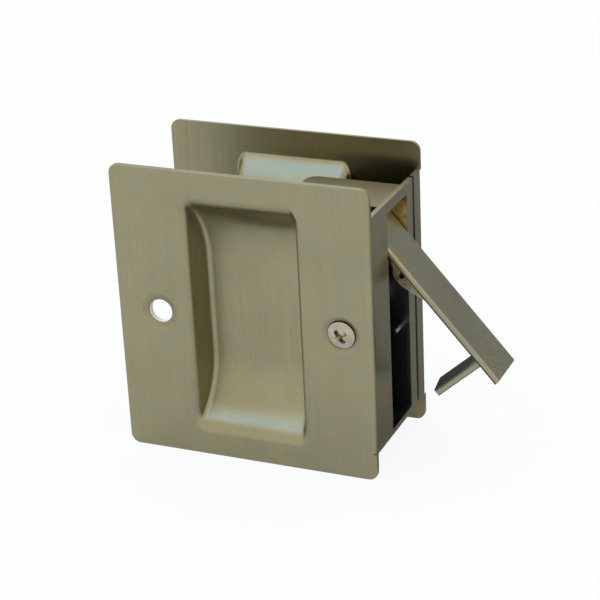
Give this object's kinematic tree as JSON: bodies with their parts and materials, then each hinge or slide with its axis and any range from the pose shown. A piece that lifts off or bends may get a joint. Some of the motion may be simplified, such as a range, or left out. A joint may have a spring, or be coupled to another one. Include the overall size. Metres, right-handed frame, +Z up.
{
  "type": "pocket door lock",
  "caption": "Pocket door lock of the passage kind: two plates with finger cups clamp a sliding door, and a hinged pull swings out of the door's edge.",
  "frame": {"origin": "middle of the lock's box with the pull swung open, at the plates' lower edges", "axes": "+Z up; +X out of the door's edge, the way the pull swings; +Y from the front plate to the rear plate"},
  "size_m": [0.0992, 0.038, 0.0794],
  "materials": {
    "plate_satin_nickel": "satin nickel, finely brushed upright",
    "case_nickel": "plain nickel plate, dark inside",
    "pull_nickel": "satin nickel on a casting",
    "screw_bright": "bright nickel",
    "spring_steel": "blued spring steel",
    "pin_steel": "bright zinc plate",
    "turned_brass": "turned brass"
  },
  "bodies": {
    "lock": {"front_plate": "plate_satin_nickel", "rear_plate": "plate_satin_nickel", "case_body": "case_nickel", "case_cover": "case_nickel", "case_rivets": "pin_steel", "pivot_pin": "pin_steel", "pivot_spacer_near": "turned_brass", "pivot_spacer_far": "turned_brass", "pivot_retainer": "pin_steel", "closing_stop_pin": "pin_steel", "opening_stop_pin": "pin_steel", "friction_spring": "spring_steel", "friction_spring_rivets": "pin_steel", "tang_spring": "spring_steel", "tang_spring_rivet": "pin_steel", "screw_sleeve": "pin_steel", "face_screw": "screw_bright", "post_behind_screw": "turned_brass", "post_behind_empty_hole": "turned_brass"},
    "pull": {"edge_pull": "pull_nickel"}
  },
  "joints": [
    {"name": "pull_hinge", "type": "hinge", "parent": "lock", "child": "pull", "pos_m": [0.01368, 0.00035, 0.0566], "axis": [0, 1, 0], "range_deg": [0, 41.4]}
  ]
}
